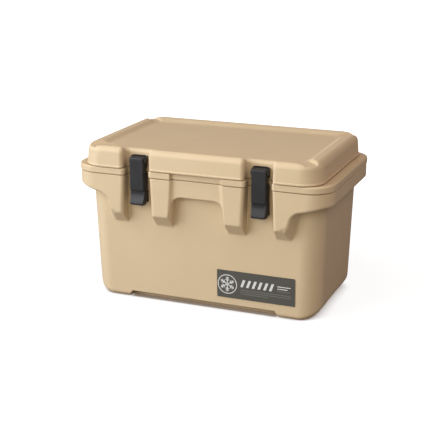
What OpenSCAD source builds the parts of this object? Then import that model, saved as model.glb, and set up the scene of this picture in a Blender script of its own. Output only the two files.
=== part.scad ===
// Hard-sided cooler chest: a drafted double-wall tub with a moulded skirt, a
// rim collar, a hinged insulated lid, two lever latches and a screw-in drain.
// Frame: X to the right, front at -Y, +Z up. The origin is the centre of the
// collar in plan, and z = 0 is the plane of the flat base.

/* [Tub] */
// tub width at floor level, outside
tub_w = 467.5; // [400:0.5:560]
// tub depth at floor level, outside
tub_d = 250.6; // [200:0.2:320]
// vertical corner radius of the tub at floor level
tub_r = 38; // [20:1:60]
// outward draft of the walls, millimetres per millimetre of height, each side
draft = 0.0292; // [0.01:0.0002:0.05]
// height of the shell's top face, where the collar sits
tub_h = 257.6; // [200:0.1:320]
// radius along the bottom edges at front and rear
bottom_r = 9; // [4:1:30]
// radius along the bottom edges at the two ends
bottom_r_end = 28; // [4:1:40]
// height of the long notch under the front and rear edges
notch_h = 12.5; // [6:0.5:20]
// how far that notch is set back
notch_d = 17; // [6:0.5:24]
// half length of that notch
notch_w = 150; // [60:1:190]
// height of the notch under each end
notch_h_end = 16; // [6:0.5:24]
// half length of the notch under each end
notch_w_end = 46; // [20:1:80]
// outer shell wall thickness
shell_t = 4; // [3:0.5:6]
// underside of the insulation inside the shell
cavity_z = 19; // [17:1:24]

/* [Skirt] */
// skirt width
skirt_w = 518; // [460:1:600]
// skirt depth
skirt_d = 308; // [260:1:360]
// skirt corner radius
skirt_r = 45; // [20:1:70]
// underside of the skirt at the ends and the rear
skirt_z = 229; // [200:1:250]
// distance of the recessed panel between the inner legs from the centre plane
recess_y = 148; // [140:1:153]
// half width of that recess
recess_w = 51; // [30:1:70]

/* [Collar] */
// collar width
collar_w = 520; // [460:1:600]
// collar depth
collar_d = 311; // [260:1:360]
// collar corner radius
collar_r = 46; // [20:1:70]
// top face of the collar, the parting plane
collar_z = 271.5; // [230:0.1:340]
// height of the groove under the collar
groove = 0.9; // [0.4:0.1:2]

/* [Liner] */
// inside width at the mouth
liner_w = 424; // [360:1:480]
// inside depth at the mouth
liner_d = 208; // [160:1:260]
// inside floor height
floor_z = 38.5; // [30:0.5:60]
// liner wall thickness
liner_t = 2.5; // [1.5:0.5:5]
// width of the liner's top flange beyond its wall
flange_w = 8; // [4:1:14]

/* [Lid] */
// lid width
lid_w = 481; // [420:1:560]
// lid depth
lid_d = 312.6; // [260:0.2:360]
// lid corner radius
lid_r = 40; // [20:1:60]
// shift of the lid's centre towards the front
lid_shift = 0.8; // [0:0.1:4]
// underside of the lid's outer edge
lid_z0 = 272.3; // [272:0.1:274]
// top of the raised ridges
lid_z1 = 313.5; // [300:0.1:340]
// level of the sunken top panel
panel_z = 308; // [300:0.1:330]
// how far the lid's plug reaches below the parting plane
plug_h = 12; // [4:1:20]

/* [Latches] */
// distance of each latch from the middle
latch_x = 123.8; // [80:0.1:180]
// width of the latch channel in the lid
channel_w = 56.4; // [44:0.2:90]
// distance of that channel's back wall from the centre plane
channel_y = 132.5; // [128:0.1:140]
// lever width
lever_w = 28.6; // [20:0.2:40]
// distance of the lever's pin from the centre plane
pin_y = 142; // [138:0.1:146]
// height of the lever's pin
pin_z = 286.8; // [280:0.1:300]
// lowest point of the lever
lever_z = 200.7; // [190:0.1:220]
// pin radius
pin_r = 2; // [1:0.1:3]

/* [Hinges] */
// distance of each hinge from the middle
hinge_x = 124; // [80:1:180]
// distance of the hinge axis from the centre plane
hinge_y = 163; // [160:0.5:170]
// height of the hinge axis
hinge_z = 272; // [270:0.5:276]
// radius of the hinge knuckles
knuckle_r = 6; // [4:0.5:8]
// hinge width
hinge_w = 50; // [30:1:70]
// hinge pin radius
hinge_pin_r = 2.5; // [1.5:0.1:4]

/* [Drain] */
// height of the drain
drain_z = 54; // [50:1:80]
// radius of the drain bore
drain_r = 7; // [4:0.1:10]
// radius of the spout tube
spout_r = 10; // [8:0.5:14]

/* [Hidden] */
$fn = 48;

sand = [0.83, 0.74, 0.60];
grey = [0.86, 0.86, 0.84];
dark_grey = [0.33, 0.32, 0.29];
foam = [0.93, 0.90, 0.78];
black = [0.10, 0.10, 0.11];
steel = [0.72, 0.72, 0.74];
rubber = [0.16, 0.16, 0.17];

gap = 0.1;      // fit between nested mouldings
run = 0.05;     // running clearance of a pin or screw in its bore
press = 0.01;   // clearance of a pin in the part that holds it
snug = 0.02;    // clearance behind the hinge plates and in the drain nut
slice = 0.02;   // thickness of the thin layers that are hulled
over = 5;       // overshoot of a cut past a face
far_x = 300;    // beyond everything in X
far_y = 200;    // beyond everything in Y

screw_r = 1.5;
screw_head_r = 2.9;
screw_head_h = 1.8;
keeper_screw_z = [217, 239];
base_screw_x = [-17, 17];      // hinge base, from the hinge's middle
base_screw_z = [243, 251];
leaf_screw_x = [-19, 19];      // hinge leaf, from the hinge's middle
leaf_screw_z = [286, 295];
bracket_screw_x = [-9, 9];     // latch bracket, from the latch's middle
bracket_screw_z = 284.6;

notch_d_end = 12;              // setback of the notch under each end
liner_r = 24;                  // liner corner radius
pocket_w = 22;                 // pocket in the front wall for a latch keeper
pocket_y = -130.5;             // its back wall
pocket_z = [212, 244];
seat_w = 33.6;                 // seat in the lid for a latch bracket
seat_d = 3;
seat_z = [276, 296];
drain_x = tub_w / 2 - 0.1;     // flat seat of the drain flange

// ---- shared shapes -------------------------------------------------------------
// rounded rectangle about the origin
module rrect(width, depth, radius) {
  square([width - 2 * radius, depth], center = true);
  square([width, depth - 2 * radius], center = true);
  for (sx = [-1, 1], sy = [-1, 1])
    translate([sx * (width / 2 - radius), sy * (depth / 2 - radius)]) circle(r = radius);
}

// rounded rectangular plate from z0 to z1
module plate(width, depth, radius, z0, z1)
  translate([0, 0, z0]) linear_extrude(z1 - z0) rrect(width, depth, radius);

// box centred on x, between the two values of y and of z
module block(x, width, y, z)
  translate([x - width / 2, y[0], z[0]]) cube([width, y[1] - y[0], z[1] - z[0]]);

// prism along Y from a profile in the XZ plane
module along_y(y0, y1)
  translate([0, y1, 0]) rotate([90, 0, 0]) linear_extrude(y1 - y0) children();

// prism along X from a profile in the YZ plane, centred on x
module along_x(x, width)
  translate([x - width / 2, 0, 0]) rotate([90, 0, 90]) linear_extrude(width) children();

// cylinder along X, centred on x
module rod_x(x, width, y, z, radius)
  translate([x - width / 2, y, z]) rotate([0, 90, 0]) cylinder(h = width, r = radius);

// cylinder along Y from y0 to y1
module rod_y(x, y0, y1, z, radius)
  translate([x, y0, z]) rotate([-90, 0, 0]) cylinder(h = y1 - y0, r = radius);

// cylinder on the drain's axis from x0 to x1
module drum(x0, x1, radius)
  translate([x0, 0, drain_z]) rotate([0, 90, 0]) cylinder(h = x1 - x0, r = radius);

module screw_hole(x, y0, y1, z) rod_y(x, y0, y1, z, screw_r + run);

// countersunk screw driven towards +Y, its head flush at y; grow enlarges it into a hole
module screw_in(x, y, z, length, grow = 0) {
  translate([x, y, z]) rotate([-90, 0, 0])
    cylinder(h = screw_head_h, r1 = screw_head_r + grow, r2 = screw_r + grow);
  rod_y(x, y + screw_head_h - 0.1, y + length + grow, z, screw_r + grow);
}

// the same driven towards -Y
module screw_out(x, y, z, length, grow = 0)
  mirror([0, 1, 0]) screw_in(x, -y, z, length, grow);

// inset of a quarter round at a height above its foot
function round_inset(radius, height) =
  height >= radius ? 0 : radius - sqrt(radius * radius - (radius - height) * (radius - height));

// thin layer of the drafted tub at height z, inset at the ends and at front and rear
module tub_layer(z, end_inset, front_inset) {
  growth = 2 * draft * z;
  translate([0, 0, z]) linear_extrude(slice)
    rrect(tub_w + growth - 2 * end_inset, tub_d + growth - 2 * front_inset,
          tub_r - 0.65 * max(end_inset, front_inset), $fn = 32);
}

// drafted tub from z0 to z1, inset all round, with rounded bottom edges
module tub(wall_inset, z0, z1, end_r, front_r) hull() {
  for (height = [0, 1, 3, 6, 9, 14, 20, 28])
    if (height <= max(end_r, front_r))
      tub_layer(z0 + height, wall_inset + round_inset(end_r, height),
                wall_inset + round_inset(front_r, height));
  tub_layer(z1 - slice, wall_inset, wall_inset);
}

// room for the insulation in the shell, up to top; shrink insets its walls and floors
module tub_cavity(shrink, top) {
  tub(shell_t + shrink, cavity_z + shrink, top, 20, 6);
  plate(tub_w - 56 - 2 * shrink, tub_d - 44 - 2 * shrink, 20 - shrink, 5 + shrink, cavity_z + 8);
}

// plate with the outline of the liner's mouth, grown all round
module mouth_plate(grow, z0, z1)
  plate(liner_w + 2 * grow, liner_d + 2 * grow, liner_r + grow, z0, z1);

// drafted liner volume from z0 to z1, grown all round
module liner_form(grow, z0, z1) hull() for (z = [z0, z1 - slice]) {
  taper = 0.06 * (collar_z - z);
  translate([0, 0, z]) linear_extrude(slice)
    rrect(liner_w + 2 * grow - taper, liner_d + 2 * grow - taper, liner_r + grow, $fn = 32);
}

// ---- skirt ---------------------------------------------------------------------
skirt_foot = 150;     // below the lowest point of the legs
skirt_inner = -110;   // back of the front skirt, inside the tub wall

// front profiles seen from the front, [x, z]; the legs are the right half
leg_inner = [[recess_w + 1, tub_h], [recess_w + 1, 212], [56, 158], [94, 158], [95.5, tub_h]];
leg_outer = [[152, tub_h], [152, 230], [154, 158], [178, 158], [186, 204], [191, 214],
             [198, 219], [210, 221.5], [232, 226.4], [246, skirt_z], [280, skirt_z],
             [280, tub_h]];
recess_panel = [[-recess_w - 2, tub_h], [-recess_w - 2, 200], [-48, 208], [-44, 216],
                [-37, 221.5], [-27, 224], [27, 224], [37, 221.5], [44, 216], [48, 208],
                [recess_w + 2, 200], [recess_w + 2, tub_h]];
// side limit, [y, z]: the legs end in a 45 degree ramp back to the wall
skirt_side = [[-200, 229], [-131, 160], [-131, skirt_foot], [200, skirt_foot],
              [200, 300], [-200, 300]];

module leg_profiles() for (flip = [0, 1]) mirror([flip, 0, 0]) {
  polygon(leg_inner);
  polygon(leg_outer);
}

// skirt, legs and the recessed panel between the inner legs
module skirt() intersection() {
  plate(skirt_w, skirt_d, skirt_r, skirt_foot, tub_h);
  union() {
    along_y(-skirt_d, skirt_inner) leg_profiles();
    along_y(-recess_y, skirt_inner) polygon(recess_panel);
    difference() {
      block(0, 2 * skirt_w, [-112, 288], [skirt_z, skirt_z + 60]);
      plate(tub_w - 40, tub_d - 40, tub_r, 100, 400);
    }
  }
  along_x(0, 700) polygon(skirt_side);
}

// ---- body mouldings --------------------------------------------------------------
// blocks inside the shell that take the keeper screws
module keeper_bosses(grow = 0) for (side = [-1, 1])
  block(side * latch_x, 28 + 2 * grow, [-132, -118 + grow], [208 - grow, 250 + grow]);

// notch outline that widens downwards
function notch_profile(half, height) =
  [[-half - 9, -2], [-half, height], [half, height], [half + 9, -2]];

// set-back notches under the edges, between the corner feet
module notches() {
  for (flip = [0, 1]) {
    mirror([0, flip, 0]) along_y(-far_y, -tub_d / 2 + notch_d)
      polygon(notch_profile(notch_w, notch_h));
    mirror([flip, 0, 0]) along_x(-tub_w / 2 + notch_d_end - 50, 100)
      polygon(notch_profile(notch_w_end, notch_h_end));
  }
}

module outer_shell() color(sand) difference() {
  union() {
    difference() {
      union() {
        tub(0, 0, tub_h, bottom_r_end, bottom_r);
        skirt();
      }
      tub_cavity(0, tub_h + over);
    }
    intersection() {
      keeper_bosses();
      tub(1, 0, tub_h, bottom_r_end, bottom_r);
    }
  }
  notches();
  for (side = [-1, 1]) {
    block(side * latch_x, pocket_w, [-140, pocket_y], pocket_z);
    for (z = keeper_screw_z) screw_hole(side * latch_x, -135, -120.5, z);
    for (x = base_screw_x, z = base_screw_z) screw_hole(side * hinge_x + x, 143, 158, z);
  }
  // drain opening with its flat seat
  drum(-far_x, -drain_x, 20);
  drum(-far_x, -210, spout_r + gap);
}

module rim_collar() color(sand) difference() {
  union() {
    plate(collar_w, collar_d, collar_r, tub_h + groove, collar_z);
    plate(collar_w - 8, collar_d - 8, collar_r - 4, tub_h, tub_h + groove + 0.5);
  }
  // mouth, and the rebate that takes the liner's flange
  mouth_plate(liner_t + 2 * gap, tub_h - over, collar_z + over);
  mouth_plate(liner_t + flange_w + 2 * gap, collar_z - 2.5, collar_z + over);
  // latch channels and the set-back middle
  cut_z = [tub_h - over, tub_h - over + 40];
  for (side = [-1, 1]) block(side * latch_x, channel_w - 5.4, [-far_y, -133], cut_z);
  block(0, 2 * recess_w, [-far_y, -recess_y - 1], cut_z);
}

module inner_liner() color(grey) difference() {
  union() {
    liner_form(liner_t, floor_z - liner_t, collar_z - 1);
    mouth_plate(liner_t + flange_w, collar_z - 2.4, collar_z);
  }
  liner_form(0, floor_z, collar_z);
  mouth_plate(0, collar_z - 0.5, collar_z + over);
  drum(-far_x, -150, spout_r + gap);
}

module body_insulation() color(foam) difference() {
  tub_cavity(gap, tub_h);
  liner_form(liner_t + gap, floor_z - liner_t - gap, tub_h + 20);
  keeper_bosses(gap);
  drum(-far_x, -150, spout_r + gap);
}

// plate on the front wall, tilted with the draft
name_x = 112.2;
name_z = 56;
name_size = [157.6, 56];
module name_plate() color(dark_grey)
  translate([name_x, -(tub_d / 2 + draft * name_z) - 0.05, name_z])
    rotate([90 + atan(draft), 0, 0])
      linear_extrude(1.2) rrect(name_size[0], name_size[1], 2);

// ---- latch keepers ---------------------------------------------------------------
keeper_y = 133.6;       // distance of the inlaid plate's face from the centre plane
keeper_z = 228;         // underside of the ledge
keeper_screw_len = 12;
// side profiles, [y, z]
keeper_foot = [[-132.05, 204.5], [-133.4, 204.5], [-135.6, 207], [-136.6, 212],
               [-136.8, 219], [-135.6, 223.5], [-133.6, 227], [-132.05, 228]];
keeper_ledge = [[-133, keeper_z], [-140.6, keeper_z], [-141, keeper_z + 1.5],
                [-140.4, keeper_z + 3], [-133, keeper_z + 7]];

// inlaid plate with a ledge for the lever's nose and a wide foot below it
module keeper(side) color(black) difference() {
  x = side * latch_x;
  union() {
    block(x, pocket_w - 2 * gap, [-keeper_y, pocket_y - gap], pocket_z + [gap, -gap]);
    along_x(x, 32.8) polygon(keeper_foot);
    along_x(x, 16) polygon(keeper_ledge);
  }
  for (z = keeper_screw_z) screw_in(x, -keeper_y, z, keeper_screw_len, run);
  // way through the foot for the lower screw's head
  rod_y(x, -140, -keeper_y, keeper_screw_z[0], 3.3);
}
module left_latch_keeper() keeper(-1);
module right_latch_keeper() keeper(1);

module keeper_screws() color(steel) for (side = [-1, 1], z = keeper_screw_z)
  screw_in(side * latch_x, -keeper_y, z, keeper_screw_len);

// ---- hinges ----------------------------------------------------------------------
hinge_t = 4;                                  // plate thickness
hinge_h = 19;                                 // plate height
base_y = skirt_d / 2 + snug;                  // front of the base plate
base_z = 237;
base_face = base_y + hinge_t;
leaf_y = lid_d / 2 - lid_shift + snug;        // front of the leaf plate
leaf_z = 281;
leaf_face = leaf_y + hinge_t;
outer_knuckle_x = 19;                         // from the hinge's middle
outer_knuckle_w = 12;
mid_knuckle_w = 25;
base_screw_len = 12;
leaf_screw_len = 10;
// webs between plate and knuckle, [y, z]
base_web = [[156.2, 238], [158, 238], [168, 262], [168.6, 270], [163, 272], [157.4, 271],
            [156.2, 262]];
leaf_web = [[157, 298], [159.5, 298], [168.4, 276], [168.6, 272], [157.2, 272], [157, 280]];

// cylinder on the hinge axis
module hinge_rod(x, width, radius) rod_x(x, width, hinge_y, hinge_z, radius);

// hinge half on the body: plate and two outer knuckles
module hinge_base(side) color(black) difference() {
  mid = side * hinge_x;
  union() {
    block(mid, hinge_w, [base_y, base_face], [base_z, base_z + hinge_h]);
    for (end = [-1, 1]) {
      along_x(mid + end * outer_knuckle_x, outer_knuckle_w) polygon(base_web);
      hinge_rod(mid + end * outer_knuckle_x, outer_knuckle_w, knuckle_r);
    }
  }
  hinge_rod(mid, 80, hinge_pin_r + press);
  for (x = base_screw_x, z = base_screw_z) {
    // way through the webs for the screw's head
    rod_y(mid + x, base_face, 190, z, 3.2);
    screw_out(mid + x, base_face, z, base_screw_len, run);
  }
}
module left_hinge_base() hinge_base(-1);
module right_hinge_base() hinge_base(1);

module hinge_base_screws() color(steel)
  for (side = [-1, 1], x = base_screw_x, z = base_screw_z)
    screw_out(side * hinge_x + x, base_face, z, base_screw_len);

module hinge_pin(side) color(steel) hinge_rod(side * hinge_x, hinge_w - 1, hinge_pin_r);
module left_hinge_pin() hinge_pin(-1);
module right_hinge_pin() hinge_pin(1);

// hinge half on the lid: plate and the middle knuckle
module hinge_leaf(side) color(black) difference() {
  mid = side * hinge_x;
  union() {
    block(mid, hinge_w, [leaf_y, leaf_face], [leaf_z, leaf_z + hinge_h]);
    along_x(mid, mid_knuckle_w) polygon(leaf_web);
    hinge_rod(mid, mid_knuckle_w, knuckle_r);
  }
  hinge_rod(mid, 80, hinge_pin_r + run);
  for (x = leaf_screw_x, z = leaf_screw_z)
    screw_out(mid + x, leaf_face, z, leaf_screw_len, run);
}
module left_hinge_leaf() hinge_leaf(-1);
module right_hinge_leaf() hinge_leaf(1);

module hinge_leaf_screws() color(steel)
  for (side = [-1, 1], x = leaf_screw_x, z = leaf_screw_z)
    screw_out(side * hinge_x + x, leaf_face, z, leaf_screw_len);

// ---- drain, on the left end ------------------------------------------------------
flange_x = -drain_x - 3;     // outer face of the spout's flange
seal_x = flange_x - 2.5;     // outer face of the seal
nut_x = -204.4;              // outer end of the nut
neck_r = drain_r - 1.3;      // plug where it passes the seal

module drain_spout() color(black) difference() {
  union() {
    drum(flange_x, -drain_x, 19);
    drum(-drain_x - 1, -198.5, spout_r);
  }
  drum(-drain_x - 10, -190, drain_r);
}

module drain_nut() color(black) difference() {
  drum(nut_x, nut_x + 5, 14.5, $fn = 6);
  drum(-210, -190, spout_r + snug);
}

module drain_seal() color(rubber) difference() {
  drum(seal_x, flange_x, 14);
  drum(-drain_x - 10, -drain_x, neck_r + gap);
}

module drain_plug() color(black) difference() {
  union() {
    drum(seal_x - 9, seal_x, 15.5);
    drum(seal_x - 0.5, flange_x + 0.1, neck_r);
    drum(flange_x + 0.1, -drain_x + 19, drain_r - run);
  }
  // finger scallops round the knob
  for (angle = [0 : 45 : 315])
    translate([-drain_x - 20, 0, drain_z]) rotate([angle, 0, 0])
      translate([0, 18.5, 0]) rotate([0, 90, 0]) cylinder(h = 12, r = 5);
}

// ---- lid mouldings ---------------------------------------------------------------
hollow_front = 126;      // extents of the lid's hollow from the centre planes
hollow_rear = 146;
hollow_side = 230;
hollow_top = 304.5;
lid_floor_z = lid_z0 + 5;               // top of the lid liner's floor
plug_gap = 1.6;                         // room round the lid's plug
plug_t = 3;                             // plug wall
plug_z = collar_z - plug_h;             // underside of the plug
// rounded top edge: [z, inset]
lid_edge = [[300, 0], [305.5, 1.2], [310.3, 4.8], [lid_z1 - slice, 11]];
// cuts at the panel's corners: [x, y, width, turn in plan on the right side]
corner_cuts = [[214, 130, 26, 45], [212, -132, 24, -45]];

// plate that fills the lid's hollow in plan, inset by shrink
module hollow_plate(shrink, z0, z1)
  translate([0, (hollow_rear - hollow_front) / 2, 0])
    plate(2 * (hollow_side - shrink), hollow_rear + hollow_front - 2 * shrink, 30 - shrink,
          z0, z1);

module lid_block() {
  translate([0, -lid_shift, 0]) plate(lid_w, lid_d, lid_r, lid_z0, 301);
  hull() for (station = lid_edge)
    translate([0, -lid_shift, station[0]]) linear_extrude(slice)
      rrect(lid_w - 2 * station[1], lid_d - 2 * station[1], lid_r - station[1]);
}

// sunken panel, open at the four corners
module lid_panel_cut() {
  translate([0, -12.5, 0]) plate(408, 263, 6, panel_z, panel_z + 20);
  for (side = [-1, 1], cut = corner_cuts)
    translate([side * cut[0], cut[1], panel_z + 10]) rotate([0, 0, side * cut[3]])
      cube([80, cut[2], 20], center = true);
}

module lid_shell() color(sand) difference() {
  lid_block();
  lid_panel_cut();
  for (side = [-1, 1]) {
    // latch channel, with the seat and screw holes of its bracket
    block(side * latch_x, channel_w, [-far_y, -channel_y], [lid_z0 - over, lid_z0 - over + 60]);
    block(side * latch_x, seat_w, [-140, -channel_y + seat_d], seat_z);
    for (x = bracket_screw_x) screw_hole(side * latch_x + x, -133, -126.6, bracket_screw_z);
    for (x = leaf_screw_x, z = leaf_screw_z) screw_hole(side * hinge_x + x, 148.4, 160, z);
  }
  hollow_plate(0, lid_z0 - over, hollow_top);
}

module lid_liner() color(grey) difference() {
  union() {
    hollow_plate(gap, lid_z0, lid_floor_z);
    mouth_plate(-plug_gap, plug_z, lid_z0 + 1);
  }
  // hollow of the plug, filled with insulation
  mouth_plate(-plug_gap - plug_t, plug_z + plug_t, lid_z0 + 10);
  // gasket groove
  difference() {
    mouth_plate(8, lid_z0 - 1, lid_z0 + 2.6);
    mouth_plate(3, lid_z0 - 2, lid_z0 + 4);
  }
}

module lid_insulation() color(foam) union() {
  hollow_plate(gap, lid_floor_z + 0.05, hollow_top - gap);
  mouth_plate(-plug_gap - plug_t - gap, plug_z + plug_t + gap, lid_z0 + 6);
}

// gasket: a body held in the liner's groove, and a lip that meets the liner flange
module lid_gasket() color(rubber) difference() {
  union() {
    mouth_plate(8 - gap, lid_z0 + 0.4, lid_z0 + 2.5);
    mouth_plate(6.5, collar_z, lid_z0 + 1);
  }
  mouth_plate(3 + gap, lid_z0 + 0.3, lid_z0 + 4);
  mouth_plate(4.5, collar_z - 2, lid_z0 + 0.5);
}

// ---- latch brackets and pins -----------------------------------------------------
ear_x = 15.7;                // ear's middle from the latch's middle
ear_t = 2;
bracket_screw_len = 5.6;

// cylinder on the latch pin's axis
module latch_rod(side, width, radius, shift = 0)
  rod_x(side * latch_x + shift, width, -pin_y, pin_z, radius);

// bracket in the lid's latch channel: inlaid plate and two ears that hold the pin
module bracket(side) color(black) difference() {
  mid = side * latch_x;
  inlay_z = seat_z + [gap, -gap];
  union() {
    block(mid, seat_w - 2 * gap, [-channel_y, -channel_y + seat_d - gap], inlay_z);
    for (end = [-1, 1]) hull() {
      latch_rod(side, ear_t, 5, end * ear_x);
      block(mid + end * ear_x, ear_t, [-channel_y - 0.5, -channel_y + 1], [277.5, inlay_z[1]]);
    }
  }
  latch_rod(side, 32, pin_r + press);
  for (x = bracket_screw_x)
    screw_in(mid + x, -channel_y, bracket_screw_z, bracket_screw_len, run);
}
module left_latch_bracket() bracket(-1);
module right_latch_bracket() bracket(1);

module bracket_screws() color(steel) for (side = [-1, 1], x = bracket_screw_x)
  screw_in(side * latch_x + x, -channel_y, bracket_screw_z, bracket_screw_len);

module latch_pin(side) color(steel) latch_rod(side, 31.8, pin_r);
module left_latch_pin() latch_pin(-1);
module right_latch_pin() latch_pin(1);

// ---- latch levers ----------------------------------------------------------------
cap_r = 8.5;                 // rounded top of the lever, about its pin
brow_r = 4.5;                // rounding of the top front edge
front_y = -pin_y - cap_r;    // lever's front plane
// side profiles, [y, z]
lever_profile = [
  [front_y, pin_z], [front_y, 223.2], [front_y + 1.6, 220.8], [front_y + 1.2, 218],
  [front_y - 0.4, 213.5], [front_y - 2.4, 208.8], [front_y - 3, 206.4],
  [front_y - 2.6, 204.6], [front_y - 0.6, 202], [front_y + 2, lever_z],
  [front_y + 7, lever_z], [front_y + 10.5, 206], [front_y + 12, 216],
  [front_y + 12.6, 225], [front_y + 16, 231], [front_y + 16, 268], [-134, 280],
  [-133.5, pin_z]];
nose_profile = [[front_y + 1, 221], [front_y + 1, 232], [front_y + 3, 232],
                [-141.4, 226.6], [-141.4, 221]];

// front plate, two cheeks and a flared finger lip, pivoting on the lid
module lever_body(side) color(black) difference() {
  x = side * latch_x;
  union() {
    hull() {
      latch_rod(side, lever_w, cap_r);
      rod_x(x, lever_w, front_y + brow_r, pin_z + cap_r - brow_r, brow_r);
    }
    along_x(x, lever_w) polygon(lever_profile);
  }
  // hollow behind the front plate, below the solid head
  block(x, 23.6, [front_y + 3, front_y + 33], [222, pin_z - 5.8]);
  latch_rod(side, 40, pin_r + run);
}

// lever with the nose that stands under the keeper's ledge
module lever(side) union() {
  lever_body(side);
  color(black) along_x(side * latch_x, 24) polygon(nose_profile);
}
module left_latch_lever() lever(-1);
module right_latch_lever() lever(1);

outer_shell();
rim_collar();
inner_liner();
body_insulation();
name_plate();
left_latch_keeper();
right_latch_keeper();
keeper_screws();
left_hinge_base();
right_hinge_base();
hinge_base_screws();
left_hinge_pin();
right_hinge_pin();
drain_spout();
drain_nut();
drain_seal();
drain_plug();
lid_shell();
lid_liner();
lid_insulation();
lid_gasket();
left_hinge_leaf();
right_hinge_leaf();
hinge_leaf_screws();
left_latch_bracket();
right_latch_bracket();
bracket_screws();
left_latch_pin();
right_latch_pin();
left_latch_lever();
right_latch_lever();
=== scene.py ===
"""An insulated box with a hinged lid: drafted tub shell, rim collar, lid, liners, two latch levers,
screws and a marked name plate.

It stands on z = 0 with its length along X. The front, with latches and name plate, faces -Y, the
hinges are at +Y and the drain is in the left end, at -X. Shapes are worked out in millimetres
and meshed in metres. CAD pieces, materials, lights and camera use metres.
"""
import itertools
import math
import bpy
import bmesh
import numpy as np
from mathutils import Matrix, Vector
from numpy import hypot, maximum, minimum


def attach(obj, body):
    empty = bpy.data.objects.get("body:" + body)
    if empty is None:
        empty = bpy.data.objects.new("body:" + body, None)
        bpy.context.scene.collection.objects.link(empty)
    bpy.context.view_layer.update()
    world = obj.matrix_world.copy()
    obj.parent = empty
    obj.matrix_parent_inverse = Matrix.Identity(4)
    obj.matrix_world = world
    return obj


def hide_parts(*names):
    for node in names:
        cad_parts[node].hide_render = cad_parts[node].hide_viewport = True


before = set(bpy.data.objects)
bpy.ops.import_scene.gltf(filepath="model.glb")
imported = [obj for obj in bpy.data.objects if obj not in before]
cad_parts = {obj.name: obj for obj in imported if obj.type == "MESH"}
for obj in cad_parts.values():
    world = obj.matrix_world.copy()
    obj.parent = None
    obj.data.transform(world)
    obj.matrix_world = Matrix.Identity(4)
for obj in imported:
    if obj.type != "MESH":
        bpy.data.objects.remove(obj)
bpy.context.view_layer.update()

GRID_SCALE = 1.0
MIN_STEP = 0.3

# ------------------------------------------------------------------ shared sizes (millimetres)
DRAFT = 0.0292               # outward lean of the walls per unit of height
LATCH_X = 123.8              # middle of each latch, left and right
HINGE_X = 124                # middle of each hinge
DRAIN_Z = 54.0
DRAIN_R = 10.2
SKIRT_Z = 229.0              # underside of the skirt at the ends and back
SHELL_TOP = 257.6
RIM_TOP = 271.5              # top of collar and liner
LEVER_PIVOT = -142.0, 286.8  # y, z
LID_CAVITY_Y = 10.0          # the lid's cavity sits this far behind the middle

# corner centres (x, y) shared by all plan outlines round the mouth, and by those of the lid cavity
MOUTH = 188, 80
LID_CAVITY = 200, 106

# plan outlines: half size in X, half size in Y, corner radius
SKIRT = 259, 154, 45
TUB_FOOT = 233.75, 125.3, 40.0
FOOT_CAVITY = 206.2, 103.8, 20
COLLAR = 260, 155.5, 46
SPIGOT = 256, 151.5, 42
LID = 240.4, 156.3, 40
LID_LIP = 241.4, 157.2, 40.9

# side lines of the front legs: two points (|x|, z) each
OUTER_LEG_INSIDE = (151.0, 258), (154.2, 183)
OUTER_LEG_OUTSIDE = (178.8, 183), (188.5, 216)
INNER_LEG_INSIDE = (51.8, 258), (56.8, 183)
INNER_LEG_OUTSIDE = (92.4, 183), (95.8, 258)


# ------------------------------------------------------------------ fields: negative inside a shape
# A factor after a sloping difference scales it back to about a true distance.
def meet(a, b, r):
    """intersection, its edge rounded by r"""
    return minimum(-r, maximum(a, b)) + hypot(maximum(a + r, 0), maximum(b + r, 0))


def join(a, b, r):
    """union, with a fillet of radius r in the inside corner"""
    return maximum(r, minimum(a, b)) - hypot(maximum(r - a, 0), maximum(r - b, 0))


def cut(form, tool, r):
    """form less tool, the cut's edge rounded by r"""
    return meet(form, -tool, r)


def carve(form, tool):
    """form less tool, with a sharp edge"""
    return maximum(form, -tool)


def rect(x, y, half_x, half_y, r):
    qx = abs(x) - half_x + r
    qy = abs(y) - half_y + r
    return minimum(maximum(qx, qy), 0) + hypot(maximum(qx, 0), maximum(qy, 0)) - r


def rect_round(core, x, y, r, shrink=0.0):
    """rectangle whose corners of radius r are centred on core, then shrunk on all sides"""
    return rect(x, y, core[0] + r - shrink, core[1] + r - shrink, r)


def box(x, y, z, centre, half, r=0.3):
    qx, qy, qz = (abs(v - c) - h + r for v, c, h in zip((x, y, z), centre, half))
    return (minimum(maximum(maximum(qx, qy), qz), 0)
            + np.sqrt(maximum(qx, 0) ** 2 + maximum(qy, 0) ** 2 + maximum(qz, 0) ** 2) - r)


def right_of(x, z, start, end):
    """signed distance to the line start-end, positive on its right-hand side"""
    length = math.hypot(end[0] - start[0], end[1] - start[1])
    tx, tz = (end[0] - start[0]) / length, (end[1] - start[1]) / length
    return (x - start[0]) * tz - (z - start[1]) * tx


def ease(t):
    """smooth step from 0 to 1"""
    t = np.clip(t, 0, 1)
    return t * t * (3 - 2 * t)


def polygon(u, v, points):
    """signed distance to a closed polygon"""
    nearest, sign = 1e18, 1.0
    for i in range(len(points)):
        (au, av), (bu, bv) = points[i], points[i - 1]
        eu, ev = bu - au, bv - av
        wu, wv = u - au, v - av
        t = np.clip((wu * eu + wv * ev) / (eu * eu + ev * ev), 0, 1)
        nearest = minimum(nearest, (wu - eu * t) ** 2 + (wv - ev * t) ** 2)
        above, below, left = v >= av, v < bv, eu * wv > ev * wu
        flips = (above & below & left) | (~above & ~below & ~left)
        sign = sign * np.where(flips, -1.0, 1.0)
    return sign * np.sqrt(nearest)


def drain_hole(x, y, z, r, x_end):
    """round hole along X through everything left of x_end"""
    return maximum(hypot(y, z - DRAIN_Z) - r, x - x_end)


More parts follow.
